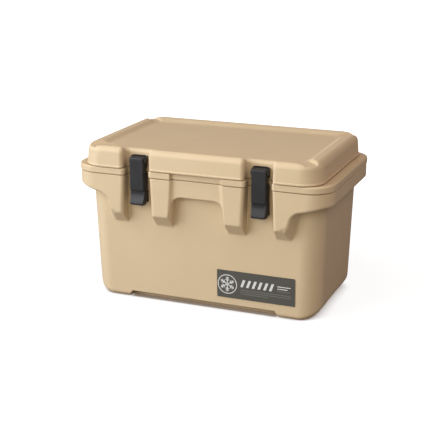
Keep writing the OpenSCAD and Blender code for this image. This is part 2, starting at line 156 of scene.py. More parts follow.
# ------------------------------------------------------------------ mesher: surface nets, graded grid
def axis(low, high, coarse, zones=()):
    """grid positions: coarse steps, finer inside the (start, end, step) zones"""
    cuts = sorted({low, high, *[c for zone in zones for c in zone[:2] if low < c < high]})
    out = [low]
    for a, b in zip(cuts[:-1], cuts[1:]):
        middle = 0.5 * (a + b)
        step = min([coarse] + [zone[2] for zone in zones if zone[0] <= middle <= zone[1]])
        step = max(step * GRID_SCALE, MIN_STEP)
        count = max(1, math.ceil((b - a) / step - 1e-6))
        out += [a + (b - a) * (i + 1) / count for i in range(count)]
    return np.array(out)


def mirrored_axis(half, coarse, zones):
    return axis(-half, half, coarse, zones + [(-b, -a, step) for a, b, step in zones])


def slab(dim, span):
    """index that takes span along dim and everything along the others"""
    out = [slice(None)] * 3
    out[dim] = span
    return tuple(out)


def along(values, dim):
    """values laid out along dim of a 3D array"""
    shape = [1, 1, 1]
    shape[dim] = -1
    return values.reshape(shape)


def surface_nets(field, xs, ys, zs):
    """vertices, quads and cell sizes: a vertex per crossed cell, at the mean of its crossings"""
    grid = [along(ticks, dim) for dim, ticks in enumerate((xs, ys, zs))]
    steps = [np.diff(ticks, axis=dim) for dim, ticks in enumerate(grid)]
    values = np.broadcast_to(field(*grid), (len(xs), len(ys), len(zs))).astype(np.float64)
    values = np.where(values == 0, 1e-6, values)
    cells = [n - 1 for n in values.shape]
    count = np.zeros(cells, np.int16)
    total = np.zeros((3, *cells))
    lower, upper = slice(0, -1), slice(1, None)
    for dim in range(3):
        start, end = values[slab(dim, lower)], values[slab(dim, upper)]
        crossed = (start < 0) != (end < 0)
        share = np.where(crossed, start / np.where(crossed, start - end, 1), 0)
        crossing = grid[dim][slab(dim, lower)] + steps[dim] * share
        others = [i for i in range(3) if i != dim]
        for shifts in itertools.product((0, 1), repeat=2):
            pick = [slice(None)] * 3
            for other, shift in zip(others, shifts):
                pick[other] = slice(shift, cells[other] + shift)
            hit = crossed[tuple(pick)]
            count += hit
            total[dim] += np.where(hit, crossing[tuple(pick)], 0)
            for other in others:
                total[other] += np.where(hit, grid[other][slab(other, pick[other])], 0)
    active = count > 0
    index = np.full(count.shape, -1, np.int64)
    index[active] = np.arange(active.sum())
    points = np.stack([total[i][active] / count[active] for i in range(3)], 1)
    smallest = minimum(minimum(steps[0], steps[1]), steps[2])
    size = np.broadcast_to(smallest, count.shape)[active]

    inside = values < 0
    quads = []
    for dim in range(3):
        first, second = (dim + 1) % 3, (dim + 2) % 3
        start = inside[slab(dim, lower)]
        crossed = start != inside[slab(dim, upper)]
        for other in (first, second):
            crossed[slab(other, 0)] = False
            crossed[slab(other, -1)] = False
        edges = np.argwhere(crossed)
        corners = []
        for shift_1, shift_2 in ((-1, -1), (0, -1), (0, 0), (-1, 0)):
            cell = edges.copy()
            cell[:, first] += shift_1
            cell[:, second] += shift_2
            corners.append(index[tuple(cell.T)])
        quad = np.stack(corners, 1)
        backward = ~start[crossed]
        quad[backward] = quad[backward][:, ::-1]
        quads.append(quad)
    return points, np.concatenate(quads), size


def gradient(field, points, reach=0.02):
    out = np.empty_like(points)
    for i, shift in enumerate(np.eye(3) * reach):
        out[:, i] = (field(*(points + shift).T) - field(*(points - shift).T)) / (2 * reach)
    return out


def capped(moves, limit):
    length = np.linalg.norm(moves, axis=1)
    return moves * minimum(1, limit / maximum(length, 1e-9))[:, None]


def project(field, points, size):
    """four Newton steps onto the surface, the whole move held under 0.9 of a cell"""
    start = points
    for _ in range(4):
        slope = gradient(field, points)
        steepness = maximum((slope * slope).sum(1), 0.05)
        step = -(field(*points.T) / steepness)[:, None] * slope
        points = points + capped(step, 0.5 * size)
    return start + capped(points - start, 0.9 * size)


def merge_flats(points, faces):
    """merge the quads of truly flat areas so that the mesh stays light"""
    scratch = bpy.data.meshes.new("tmp")
    scratch.from_pydata(points.tolist(), [], faces)
    bm = bmesh.new()
    bm.from_mesh(scratch)
    bmesh.ops.dissolve_limit(bm, angle_limit=math.radians(0.12), verts=bm.verts, edges=bm.edges,
                             use_dissolve_boundaries=False)
    large = [face for face in bm.faces if len(face.verts) > 4]
    bmesh.ops.triangulate(bm, faces=large, ngon_method="BEAUTY")
    bm.to_mesh(scratch)
    bm.free()
    points = np.empty(len(scratch.vertices) * 3)
    scratch.vertices.foreach_get("co", points)
    faces = [tuple(face.vertices) for face in scratch.polygons]
    bpy.data.meshes.remove(scratch)
    return points.reshape(-1, 3), faces


def mesh_object(name, points, faces, normals=None, smooth=True):
    mesh = bpy.data.meshes.new(name)
    mesh.from_pydata((points * 0.001).tolist(), [], faces)
    mesh.validate()
    mesh.update()
    if smooth:
        mesh.polygons.foreach_set("use_smooth", [True] * len(mesh.polygons))
    ob = bpy.data.objects.new(name, mesh)
    bpy.context.scene.collection.objects.link(ob)
    if normals is not None:
        mesh.normals_split_custom_set_from_vertices([tuple(n) for n in normals])
    return ob


def field_object(name, field, grid):
    points, faces, size = surface_nets(field, *grid)
    points = project(field, points, size)
    faces = faces.tolist()
    points, faces = merge_flats(points, faces)
    normals = gradient(field, points, reach=0.05)
    normals /= maximum(np.linalg.norm(normals, axis=1), 1e-9)[:, None]
    return mesh_object(name, points, faces, normals)


# ------------------------------------------------------------------ outer shell
def tub(x, y, z, inset=0.0, floor=0.0, end_r=28.0, side_r=9.0):
    """drafted tub, its foot rounded by end_r at the ends and side_r at front and back"""
    half_x = TUB_FOOT[0] + DRAFT * z - inset
    half_y = TUB_FOOT[1] + DRAFT * z - inset
    r = TUB_FOOT[2] - inset
    qx, qy = abs(x) - half_x + r, abs(y) - half_y + r
    px, py = maximum(qx, 0), maximum(qy, 0)
    wall = minimum(maximum(qx, qy), 0) + hypot(px, py) - r
    corner = (px > 0) | (py > 0)
    endness = np.where(corner, px ** 2 / maximum(px ** 2 + py ** 2, 1e-9), (qx > qy) * 1.0)
    return meet(wall, floor - z, side_r + (end_r - side_r) * endness)


def skirt(x, y, z):
    """band round the top of the tub, with legs running down its front"""
    side = abs(x)
    front = y < -20
    nothing = 1e3
    outline = rect(x, y, *SKIRT)
    lean = np.clip(y + 154, 0, 30)     # the legs' sides widen from the front face to the wall
    # outer legs, and the band round the ends and back
    inside = right_of(side, z, *OUTER_LEG_INSIDE) - 0.10 * lean
    outside = right_of(side, z, *OUTER_LEG_OUTSIDE) - 0.54 * lean
    under = SKIRT_Z - 0.235 * maximum(0, 244 - side)
    under = np.where(front, maximum(under, 214.0), SKIRT_Z)
    band = maximum(under - z, np.where(front, 172 - side, -1000.0))
    sides = np.where(front, join(outside, band, 9.0), band)
    edge_r = 4.0 + 1.6 * ease((side - 190) / 18) + 1.6 * ease((y + 120) / 20) * (side < 190)
    outer = meet(outline, sides, edge_r)
    outer = np.where(front, meet(outer, inside, 6.0), outer)
    # inner legs, each with a facet on its inside
    inside = right_of(side, z, *INNER_LEG_INSIDE) - 0.20 * lean
    outside = right_of(side, z, *INNER_LEG_OUTSIDE) - 0.10 * lean
    inner = meet(meet(outline, inside, 3.0), outside, 6.0)
    facet = 0.96 * (60.0 - 0.22 * (y + 130) - side) + 0.283 * (160 - z)
    inner = np.where(front, meet(inner, facet, 1.6), nothing)
    # recessed panel between the inner legs, arched below
    arch = join(224.0 - z, right_of(side, z, *INNER_LEG_INSIDE), 22.0)
    arch = np.where(front, maximum(arch, side - 58), nothing)
    panel = meet(maximum(outline, -148.0 - y), arch, 2.2)
    form = minimum(outer, join(inner, panel, 7.0))
    # legs run out in a 45 degree ramp
    ramp = (29.0 - y - z) * 0.7071
    return np.where(front, meet(form, ramp, 1.6 + 5.4 * ease((side - 163) / 12)), form)


def outer_shell(x, y, z):
    form = join(tub(x, y, z), skirt(x, y, z), 2.0)
    # long notches under the bottom edges, with sloping ends
    side, depth = abs(x), abs(y)
    top = 12.5
    long_notch = maximum(maximum(108.3 - depth, z - top), (side - 150 - 0.72 * (top - z)) * 0.81)
    top = 16.0
    end_notch = maximum(maximum(222.0 - side, z - top), (depth - 46 - 0.6 * (top - z)) * 0.86)
    form = cut(form, minimum(long_notch, end_notch), 1.4)
    form = meet(form, z - SHELL_TOP, 1.8)
    # room for the insulation
    cavity = tub(x, y, z, inset=4.0, floor=18.8, end_r=20.0, side_r=6.0)
    form = carve(form, minimum(cavity, maximum(rect(x, y, *FOOT_CAVITY), 4.8 - z)))
    # pockets for the latch keepers
    for s in (-1, 1):
        form = carve(form, box(x, y, z, (s * LATCH_X, -136.0, 228.0), (11.1, 5.6, 16.1)))
    # flat seat round the drain hole, and the hole
    form = carve(form, drain_hole(x, y, z, r=20.0, x_end=-233.65))
    return carve(form, drain_hole(x, y, z, r=DRAIN_R, x_end=-180.0))


# Grids: outer limits, coarse step, then the finer zones (start, end, step).
SHELL_GRID = (
    mirrored_axis(262, 12, [
        (28, 62, 2.0), (84, 100, 1.6), (100, 147, 6), (108, 140, 3), (147, 196, 1.8),
        (196, 240, 2.2), (240, 262, 2.0), (0, 28, 7), (62, 84, 5)]),
    axis(-157, 157, 9, [
        (-157, -126, 1.6), (-126, -112, 2.0), (-112, -84, 2.3), (-60, -40, 3.5), (40, 60, 3.5),
        (-22, 22, 4), (84, 112, 2.3), (112, 157, 2.2)]),
    axis(-2.5, 259.5, 9, [
        (-2.5, 18, 1.6), (18, 34, 2.6), (34, 76, 4), (155, 200, 2.4), (200, 238, 1.9),
        (238, 252, 3.5), (252, 259.5, 1.1)]),
)


# ------------------------------------------------------------------ rim collar
def rim_collar(x, y, z):
    form = rect(x, y, *COLLAR)
    side = abs(x)
    latch = abs(side - LATCH_X)
    # latch channels and the set-back middle of the front
    form = cut(form, maximum(meet(latch - 25.5, y + 133.0, 5.0), -y - 170), 7.0)
    form = cut(form, meet(side - 51.8, y + 149.0, 5.0), 2.4)
    form = meet(form, 258.6 - z, 1.7)
    # spigot that stands on the shell
    spigot = maximum(rect(x, y, *SPIGOT), maximum(257.65 - z, z - 260))
    spigot = carve(spigot, maximum(maximum(latch - 28.5, y + 131.0), -y - 170))
    spigot = carve(spigot, maximum(side - 53.0, y + 146.0))
    form = meet(minimum(form, spigot), z - RIM_TOP, 3.0)
    # mouth and the rebate for the liner's flange
    form = carve(form, rect_round(MOUTH, x, y, 26.7))
    return carve(form, maximum(rect_round(MOUTH, x, y, 34.75), 268.95 - z))


COLLAR_GRID = (
    mirrored_axis(262, 8, [
        (44, 60, 1.2), (86, 102, 1.2), (145, 161, 1.2), (205, 262, 2.2), (250, 262, 1.2),
        (0, 44, 9)]),
    axis(-158, 158, 8, [
        (-158, -142, 1.1), (-142, -128, 1.6), (-128, -96, 2.4), (96, 128, 2.4),
        (128, 146, 2.6), (146, 158, 1.1)]),
    axis(256.5, 273, 1.3, [(256.5, 260.5, 0.55), (267.5, 273, 0.6)]),
)


# ------------------------------------------------------------------ lid
def lid_shell(x, y, z):
    side, depth = abs(x), y + 0.8      # the outline lies 0.8 to the front
    latch = abs(side - LATCH_X)
    taper = 0.075 * (z - 274.0)
    form = meet(rect(x, depth, LID[0] - taper, LID[1] - 0.6 * taper, LID[2]), z - 313.5, 13.0)
    # sunken panel: gently sloping inner sides of the four ridges
    above = z - 308.0
    ends = (side - 206.4 - 0.95 * above) * 0.725
    back = (y - 120.0 - 1.8 * above) * 0.49
    front = (-y - 140.0 - 0.9 * above) * 0.74
    panel = meet(meet(meet(ends, back, 6.0), front, 3.0), -above, 5.0)
    # gaps in the ridges at the corners, with sloping ends
    to_back = (side + y) * 0.7071
    to_front = (side - y) * 0.7071
    wall = 43.5 - 0.3 * minimum(above, 2.3) - 2.9 * maximum(above - 2.3, 0)
    front_gap = maximum((wall - to_back) * 0.42, (to_back - 59.4 - 8.5 - 0.9 * above) * 0.74)
    front_gap = maximum(maximum(front_gap, 215.0 - to_front), -above)
    across = (side - y - 90.0) * 0.7071
    back_gap = (abs(across) - 8.0 - above) * 0.7
    back_gap = maximum(maximum(back_gap, 205.0 - to_back), -above)
    form = cut(form, panel, 3.0)
    form = cut(form, join(front_gap, back_gap, 1.5), 1.3)
    # latch channels through the front
    form = cut(form, meet(latch - 28.2 + 0.03 * (-y - 132.5), y + 132.5, 6.0), 7.5)
    # small lip along the lower edge
    lip = meet(rect(x, depth, *LID_LIP), abs(z - 274.2) - 1.9, 1.2)
    lip = cut(lip, meet(latch - 27.5, y + 133.1, 6.0), 7.5)
    form = meet(join(form, lip, 0.8), 272.3 - z, 0.8)
    # hollow for the insulation and the liner
    hollow = rect_round(LID_CAVITY, x, y - LID_CAVITY_Y, 30.8)
    form = carve(form, maximum(hollow, z - 305.2))
    # pockets for the latch brackets
    for s in (-1, 1):
        form = carve(form, box(x, y, z, (s * LATCH_X, -134.4, 285.0), (13.05, 5.0, 11.05)))
    return form


LID_GRID = (
    mirrored_axis(244, 9, [
        (84, 104, 1.5), (104, 143, 4), (143, 164, 1.5), (164, 190, 3), (186, 226, 1.6),
        (226, 244, 1.5)]),
    axis(-160.5, 158, 7, [
        (-160.5, -128, 1.3), (-128, -84, 1.9), (100, 132, 1.7), (132, 158, 1.5)]),
    axis(270.5, 315.5, 2.6, [(270.5, 278.5, 0.6), (298, 315.5, 0.85)]),
)


# ------------------------------------------------------------------ liners
def inner_liner(x, y, z):
    draft = 0.03 * (RIM_TOP - z)
    form = meet(rect_round(MOUTH, x, y, 26.5, shrink=draft), 36.0 - z, 12.0)
    flange = maximum(rect_round(MOUTH, x, y, 34.5), 269.1 - z)
    inside = meet(rect_round(MOUTH, x, y, 24.0, shrink=draft), 38.5 - z, 10.0)
    form = meet(minimum(form, flange), z - RIM_TOP, 0.4)
    form = cut(form, inside, 1.3)
    return carve(form, drain_hole(x, y, z, r=DRAIN_R, x_end=-150.0))


LINER_GRID = (
    mirrored_axis(226, 14, [(172, 226, 1.1)]),
    axis(-118, 118, 12, [(-118, -66, 1.1), (66, 118, 1.1), (-14, 14, 1.6)]),
    axis(34, 273, 9, [(34, 52, 1.4), (52, 67, 1.8), (262, 268, 2.0), (268, 273, 0.35)]),
)


def lid_liner(x, y, z):
    flange = rect_round(LID_CAVITY, x, y - LID_CAVITY_Y, 29.9)
    flange = meet(flange, abs(z - 274.8) - 2.5, 0.4)
    plug = maximum(meet(rect_round(MOUTH, x, y, 22.4), 259.5 - z, 4.5), z - 274.0)
    form = join(flange, plug, 1.2)
    form = carve(form, maximum(rect_round(MOUTH, x, y, 19.3), 262.6 - z))
    # groove round the plug, in the flange's underside
    groove = carve(rect_round(MOUTH, x, y, 32.1), rect_round(MOUTH, x, y, 26.9))
    return carve(form, maximum(groove, z - 274.95))


LID_LINER_GRID = (
    mirrored_axis(232, 14, [(186, 232, 1.2)]),
    axis(-128, 148, 12, [(-128, -78, 1.3), (78, 114, 1.3), (114, 148, 2.0)]),
    axis(258, 279, 2.0, [(258, 265, 0.8), (270.5, 279, 0.45)]),
)


# ------------------------------------------------------------------ latch levers
def softened(points):
    """open line with its corners cut twice"""
    for _ in range(2):
        out = [points[0]]
        for (ay, az), (by, bz) in zip(points[:-1], points[1:]):
            out += [(0.75 * ay + 0.25 * by, 0.75 * az + 0.25 * bz),
                    (0.25 * ay + 0.75 * by, 0.25 * az + 0.75 * bz)]
        points = out + [points[-1]]
    return points


def arc(centre, r, start, end, count):
    """count + 1 points from angle start to end, in degrees"""
    angles = [math.radians(start + (end - start) * i / count) for i in range(count + 1)]
    return [(centre[0] + r * math.cos(a), centre[1] + r * math.sin(a)) for a in angles]


# side outline (y, z): over the top, down the back, round the finger tab, up the front
LEVER_OUTLINE = (
    arc((-146.0, 290.8), 4.5, 180, 90, 8) + arc(LEVER_PIVOT, 8.5, 90, 0, 12)
    + softened([
        (-133.5, 285.0), (-134.1, 279.0), (-134.5, 268.0), (-134.5, 231.0), (-137.9, 225.0),
        (-138.5, 216.0), (-139.9, 206.0), (-141.6, 201.6), (-144.2, 200.4), (-148.6, 200.3),
        (-151.8, 201.2), (-153.8, 203.0), (-154.1, 205.4), (-153.2, 207.6), (-151.2, 210.4),
        (-149.0, 214.0), (-147.4, 218.4), (-146.5, 223.0), (-146.2, 228.0)])
    + [(-146.6, 229.0), (-149.6, 229.8), (-150.5, 230.8)])
# small nose low on the lever (y, z)
NOSE_OUTLINE = [(-146.0, 221.0), (-146.0, 227.6), (-147.0, 229.6), (-149.4, 230.4),
                (-149.5, 232.6), (-147.5, 232.6), (-141.4, 226.6), (-141.4, 221.0)]


def lever_field(middle):
    def field(x, y, z):
        side = abs(x - middle)
        width = side - 14.3 - 2.5 * ease((270 - z) / 8) * ease((y + 150.5) / 13)
        edge_r = 1.5 + 2.0 * ease((z - 284) / 8) + 1.6 * ease((208 - z) / 5)
        form = meet(polygon(y, z, LEVER_OUTLINE), width, edge_r)
        # shallow recess in the front face
        form = carve(form, meet(meet(side - 11.8, -147.5 - y, 1.0), abs(z - 251.5) - 29.5, 1.5))
        form = join(form, maximum(polygon(y, z, NOSE_OUTLINE), side - 11.9), 0.6)
        return maximum(form, 2.15 - hypot(y - LEVER_PIVOT[0], z - LEVER_PIVOT[1]))
    return field


def lever_grid(middle):
    left, right = middle - 17.6, middle + 17.6
    return (axis(left, right, 2.4, [(left, middle - 10.6, 0.45), (middle + 10.6, right, 0.45)]),
            axis(-155, -132.6, 0.7),
            axis(199.0, 296.6, 3.0, [(199.0, 236, 0.6), (276, 296.6, 0.6), (258, 276, 1.2)]))


# ------------------------------------------------------------------ screws
def screw(x, y, z):
    """countersunk screw along Y, its face at y = 0 towards -Y, with a cross recess"""
    radius = hypot(x, z)
    head = maximum((radius - 2.9 + 0.78 * maximum(y, 0)) * 0.79, y - 1.8)
    shank = maximum(radius - 1.5, maximum(-y + 1.0, y - 8.0))
    form = minimum(meet(head, -y, 0.12), shank)
    arm, width = 1.75, 0.42
    cross = minimum(maximum(abs(x) - width, abs(z) - arm), maximum(abs(z) - width, abs(x) - arm))
    return carve(form, maximum(cross, y - 1.25 + 0.35 * radius))


def screw_set(name, places, to_back):
    """one mesh of equal screws, each turned a little further, facing +Y when to_back"""
    ticks = np.arange(-3.3, 3.31, 0.2)
    depths = np.concatenate([np.arange(-0.5, 2.1, 0.15), np.arange(2.2, 8.8, 0.8)])
    points, quads, size = surface_nets(screw, ticks, depths, ticks)
    px, py, pz = project(screw, points, size).T
    if to_back:
        quads = quads[:, ::-1]
    all_points, all_faces = [], []
    for i, place_at in enumerate(places):
        angle = math.radians(17 + 47 * i)
        c, s = math.cos(angle), math.sin(angle)
        turned = np.stack([px * c - pz * s, -py if to_back else py, px * s + pz * c], 1)
        all_faces.append(quads + len(points) * i)
        all_points.append(turned + np.array(place_at))
    return mesh_object(name, np.concatenate(all_points), np.concatenate(all_faces).tolist())


# node, body, |x| of the middle, x offsets from it, y of the faces, heights, faces +Y
SCREW_SETS = (
    ("keeper_screws", "body", LATCH_X, (0,), -133.6, (217, 239), False),
    ("bracket_screws", "lid", LATCH_X, (-9, 9), -132.5, (284.6,), False),
    ("hinge_base_screws", "body", HINGE_X, (-17, 17), 158.02, (243, 251), True),
    ("hinge_leaf_screws", "lid", HINGE_X, (-19, 19), 159.52, (286, 295), True),
)

# ------------------------------------------------------------------ marks on the name plate
PLATE_CENTRE = 112.2, -126.985, 56.0
PLATE_COS = 0.99957              # cosine of the plate's lean
MARK_BACK, MARK_FACE = 1.15, 1.34    # depths off the plate's plane
FLAKE_CENTRE = -57.5, 0.0
BARS_LEFT, BAR_PITCH = -31.0, 11.6
LINE_END, SIDE_LINES_LEFT = 70.5, 44.0


def plate_point(u, v, w):
    """u to the right, v up the plate, w out of it"""
    x, y, z = PLATE_CENTRE
    return x + u, y - DRAFT * v - PLATE_COS * w, z + PLATE_COS * v - DRAFT * w


def raised_marks(name, outlines, rings=()):
    """rings (centre, inner and outer radius) and flat prisms from (u, v) outlines"""
    points, faces = [], []
    for centre, inner, outer in rings:
        count = 96
        section = ((inner, MARK_BACK), (outer, MARK_BACK), (outer, MARK_FACE), (inner, MARK_FACE))
        for i in range(count):
            angle = 2 * math.pi * i / count
            c, s = math.cos(angle), math.sin(angle)
            points += [plate_point(centre[0] + r * c, centre[1] + r * s, w) for r, w in section]
        for i in range(count):
            here, there = 4 * i, 4 * ((i + 1) % count)
            faces += [(there + k, there + (k + 1) % 4, here + (k + 1) % 4, here + k)
                      for k in range(4)]
    for i, outline in enumerate(outlines):
        face = MARK_FACE + 0.004 * (i % 8)     # staggered so that overlaps never coincide
        base, count = len(points), len(outline)
        top = base + count
        points += [plate_point(u, v, w) for w in (MARK_BACK, face) for u, v in outline]
        faces.append(tuple(range(top, top + count)))
        faces.append(tuple(range(top - 1, base - 1, -1)))
        for j in range(count):
            k = (j + 1) % count
            faces.append((base + j, base + k, top + k, top + j))
    return mesh_object(name, np.array(points), faces, smooth=False)


def strip(au, av, bu, bv, width):
    length = math.hypot(bu - au, bv - av)
    nu, nv = -(bv - av) / length * width / 2, (bu - au) / length * width / 2
    return [(au - nu, av - nv), (bu - nu, bv - nv), (bu + nu, bv + nv), (au + nu, av + nv)]


def flake(cu, cv, r):
    """six-armed snowflake, two pairs of twigs on each arm"""
    out = []
    for k in range(6):
        angle = math.radians(30 + 60 * k)
        c, s = math.cos(angle), math.sin(angle)
        out.append(strip(cu + c * 0.8, cv + s * 0.8, cu + c * r, cv + s * r, 1.9))
        for share, length in ((0.48, 0.30), (0.74, 0.24)):
            u, v = cu + c * r * share, cv + s * r * share
            for turn in (-1, 1):
                twig = angle + turn * math.radians(58)
                out.append(strip(u, v, u + math.cos(twig) * r * length,
                                 v + math.sin(twig) * r * length, 1.6))
    return out


def white_marks():
    marks = flake(*FLAKE_CENTRE, 15.2)
    for k in range(6):
        u = BARS_LEFT + BAR_PITCH * k
        marks.append([(u, -2.5), (u + 5.2, -2.5), (u + 10.8, 12.5), (u + 5.6, 12.5)])
    for v, end in ((8.6, LINE_END), (4.0, 64.0)):
        marks.append(strip(SIDE_LINES_LEFT, v, end, v, 1.5))
    return raised_marks("plate_marks_look", marks, rings=[(FLAKE_CENTRE, 18.2, 19.8)])


def grey_lines():
    lines = [strip(BARS_LEFT, v, end, v, 1.3)
             for v, end in ((-8.2, LINE_END), (-12.4, LINE_END), (-16.6, 24.0))]
    lines.append(strip(SIDE_LINES_LEFT, -0.6, LINE_END, -0.6, 1.2))
    return raised_marks("plate_lines_look", lines)


# ------------------------------------------------------------------ materials
class Material:
    """builds a node tree; inputs may be numbers, colours or sockets"""

    def __init__(self, name):
        self.material = bpy.data.materials.new(name)
        self.material.use_nodes = True
        self.tree = self.material.node_tree
        self.tree.nodes.clear()
        self.output = self.tree.nodes.new("ShaderNodeOutputMaterial")
        self.place = self.node("TexCoord").outputs["Object"]

    def put(self, socket, value):
        if isinstance(value, bpy.types.NodeSocket):
            self.tree.links.new(value, socket)
        else:
            socket.default_value = (*value, 1.0) if isinstance(value, tuple) else value

    def node(self, kind, *values, settings=None, **named):
        """values fill the first inputs in order, named ones go by the input's name"""
        node = self.tree.nodes.new("ShaderNode" + kind)
        for key, value in (settings or {}).items():
            setattr(node, key, value)
        for socket, value in zip(node.inputs, values):
            self.put(socket, value)
        for key, value in named.items():
            self.put(node.inputs[key.replace("_", " ")], value)
        return node

    def math(self, operation, a, b=0.0):
        return self.node("Math", a, b, settings={"operation": operation}).outputs[0]

    def ramp(self, value, band, to=(0.0, 1.0)):
        """carry band linearly over to the range to"""
        return self.node("MapRange", value, *band, *to).outputs[0]

    def mix(self, factor, under, over, strength=None):
        if strength is not None:
            factor = self.math("MULTIPLY", factor, strength)
        node = self.node("Mix", factor, settings={"data_type": "RGBA"})
        self.put(node.inputs[6], under)
        self.put(node.inputs[7], over)
        return node.outputs[2]

    def noise(self, scale, detail=2.0, rough=0.5, vector=None):
        return self.node("TexNoise", Vector=vector or self.place, Scale=scale, Detail=detail,
                         Roughness=rough).outputs["Fac"]

    def blotches(self, scale, detail=2.0, rough=0.5, band=(0.3, 0.7), to=(0.0, 1.0)):
        return self.ramp(self.noise(scale, detail, rough), band, to)

    def streaks(self, stretch, detail):
        mapping = self.node("Mapping", Vector=self.place)
        mapping.inputs["Scale"].default_value = stretch
        return self.noise(scale=1.0, detail=detail, vector=mapping.outputs[0])

    def openness(self, distance, band, to=(0.0, 1.0)):
        """ambient occlusion, low in hollows"""
        node = self.node("AmbientOcclusion", settings={"samples": 4}, Distance=distance)
        return self.ramp(node.outputs["AO"], band, to)

    def wear(self, radius, gain, patches):
        """0 on flats, up to 1 in patches on edges and corners"""
        bevel = self.node("Bevel", settings={"samples": 4}, Radius=radius).outputs["Normal"]
        normal = self.node("NewGeometry").outputs["Normal"]
        dot = self.node("VectorMath", bevel, normal, settings={"operation": "DOT_PRODUCT"})
        edge = self.ramp(dot.outputs["Value"], band=(1.0, 1.0 - gain))
        return self.math("MULTIPLY", edge, patches)

    def bump(self, height, strength, distance, **normal):
        return self.node("Bump", Height=height, Strength=strength, Distance=distance,
                         **normal).outputs["Normal"]

    def surface(self, shader):
        self.tree.links.new(shader.outputs[0], self.output.inputs["Surface"])
        return self.material

    def finish(self, **inputs):
        return self.surface(self.node("BsdfPrincipled", **inputs))


SAND = (0.700, 0.540, 0.340)


def tint(colour, factor):
    return tuple(np.multiply(colour, factor))


def sand():
    m = Material("sand_polyethylene")
    fleck = m.noise(scale=900.0, rough=0.6)
    colour = m.mix(m.blotches(scale=14.0, detail=4.0, rough=0.55), tint(SAND, 0.975),
                   tint(SAND, 1.02))
    colour = m.mix(m.ramp(fleck, band=(0.35, 0.65), to=(0.0, 0.5)), colour, tint(SAND, 0.955))
    # patchy painted shade in corners, deeper painted shade in deep hollows, pale worn edges
    corner_shade = m.math("MULTIPLY", m.openness(distance=0.011, band=(0.25, 0.95), to=(1.0, 0.0)),
                  m.blotches(scale=60.0, detail=4.0, rough=0.6, band=(0.3, 0.8), to=(0.75, 1.0)))
    colour = m.mix(corner_shade, colour, tint(SAND, (0.72, 0.64, 0.56)), strength=0.30)
    # deeper painted shade: warm brown wherever ambient occlusion is low
    deep = m.openness(distance=0.026, band=(0.10, 0.48), to=(0.68, 0.0))
    colour = m.mix(deep, colour, tint(SAND, (0.42, 0.31, 0.27)))
    wear = m.wear(radius=0.0016, gain=0.12,
                  patches=m.blotches(scale=75.0, detail=5.0, rough=0.65, band=(0.42, 0.68)))
    colour = m.mix(wear, colour, tuple(v * 1.10 + 0.02 for v in SAND), strength=0.30)
    # worn edges are also rougher
    rough = m.math("ADD", m.blotches(scale=38.0, detail=3.0, rough=0.6, to=(0.44, 0.54)),
                   m.math("MULTIPLY", wear, 0.12))
    normal = m.bump(m.noise(scale=210.0), strength=0.22, distance=0.00030)
    normal = m.bump(fleck, strength=0.30, distance=0.00010, Normal=normal)
    return m.finish(Base_Color=colour, Roughness=rough, Normal=normal, Specular_IOR_Level=0.42)


def black():
    m = Material("black_nylon")
    colour = m.mix(m.blotches(scale=30.0, detail=4.0), (0.018, 0.018, 0.019),
                   (0.025, 0.025, 0.026))
    wear = m.wear(radius=0.0009, gain=0.10,
                  patches=m.blotches(scale=160.0, detail=5.0, rough=0.7, band=(0.40, 0.70)))
    colour = m.mix(wear, colour, (0.085, 0.085, 0.087), strength=0.45)
    rough = m.blotches(scale=90.0, detail=4.0, rough=0.6, to=(0.40, 0.52))
    normal = m.bump(m.noise(scale=420.0), strength=0.20, distance=0.00012)
    normal = m.bump(m.noise(scale=1300.0, detail=3.0, rough=0.6), strength=0.35,
                    distance=0.00007, Normal=normal)
    return m.finish(Base_Color=colour, Roughness=rough, Normal=normal, Specular_IOR_Level=0.4)


def steel():
    m = Material("stainless_steel")
    streak = m.streaks(stretch=(220.0, 2600.0, 2600.0), detail=3.0)
    colour = m.mix(m.blotches(scale=300.0, detail=4.0), (0.50, 0.50, 0.49), (0.62, 0.62, 0.61))
    return m.finish(Base_Color=colour, Metallic=1.0,
                    Roughness=m.ramp(streak, band=(0.3, 0.7), to=(0.22, 0.40)),
                    Normal=m.bump(streak, strength=0.2, distance=0.00003))


def grey():
    m = Material("liner_white_grey")
    colour = m.mix(m.blotches(scale=12.0, detail=4.0), (0.60, 0.60, 0.58), (0.66, 0.66, 0.64))
    scuffs = m.streaks(stretch=(30.0, 260.0, 260.0), detail=5.0)
    colour = m.mix(m.ramp(scuffs, band=(0.62, 0.80), to=(0.0, 0.25)), colour, (0.50, 0.50, 0.48))
    # painted shade: the liner darkens in its hollows, where ambient occlusion is low
    hollows = m.openness(distance=0.02, band=(0.3, 1.0), to=(1.0, 0.0))
    colour = m.mix(hollows, colour, (0.40, 0.39, 0.37), strength=0.35)
    return m.finish(Base_Color=colour,
                    Roughness=m.blotches(scale=45.0, detail=3.0, to=(0.34, 0.48)),
                    Normal=m.bump(m.noise(scale=520.0), strength=0.25, distance=0.00010))


def rubber():
    m = Material("gasket_rubber")
    colour = m.mix(m.blotches(scale=70.0, detail=4.0), (0.030, 0.030, 0.031),
                   (0.050, 0.049, 0.048))
    dust = m.blotches(scale=500.0, detail=4.0, rough=0.7, band=(0.55, 0.75), to=(0.0, 0.3))
    return m.finish(Base_Color=m.mix(dust, colour, (0.11, 0.105, 0.10)),
                    Roughness=m.blotches(scale=150.0, to=(0.65, 0.80)),
                    Normal=m.bump(m.noise(scale=900.0), strength=0.3, distance=0.00008))


def foam():
    m = Material("insulation_foam")
    cells = m.node("TexVoronoi", Vector=m.place, Scale=480.0).outputs["Distance"]
    band = (0.1, 0.7)
    return m.finish(Base_Color=m.mix(m.ramp(cells, band), (0.70, 0.62, 0.40), (0.82, 0.76, 0.56)),
                    Roughness=m.ramp(cells, band, to=(0.75, 0.92)),
                    Normal=m.bump(cells, strength=0.5, distance=0.0006))


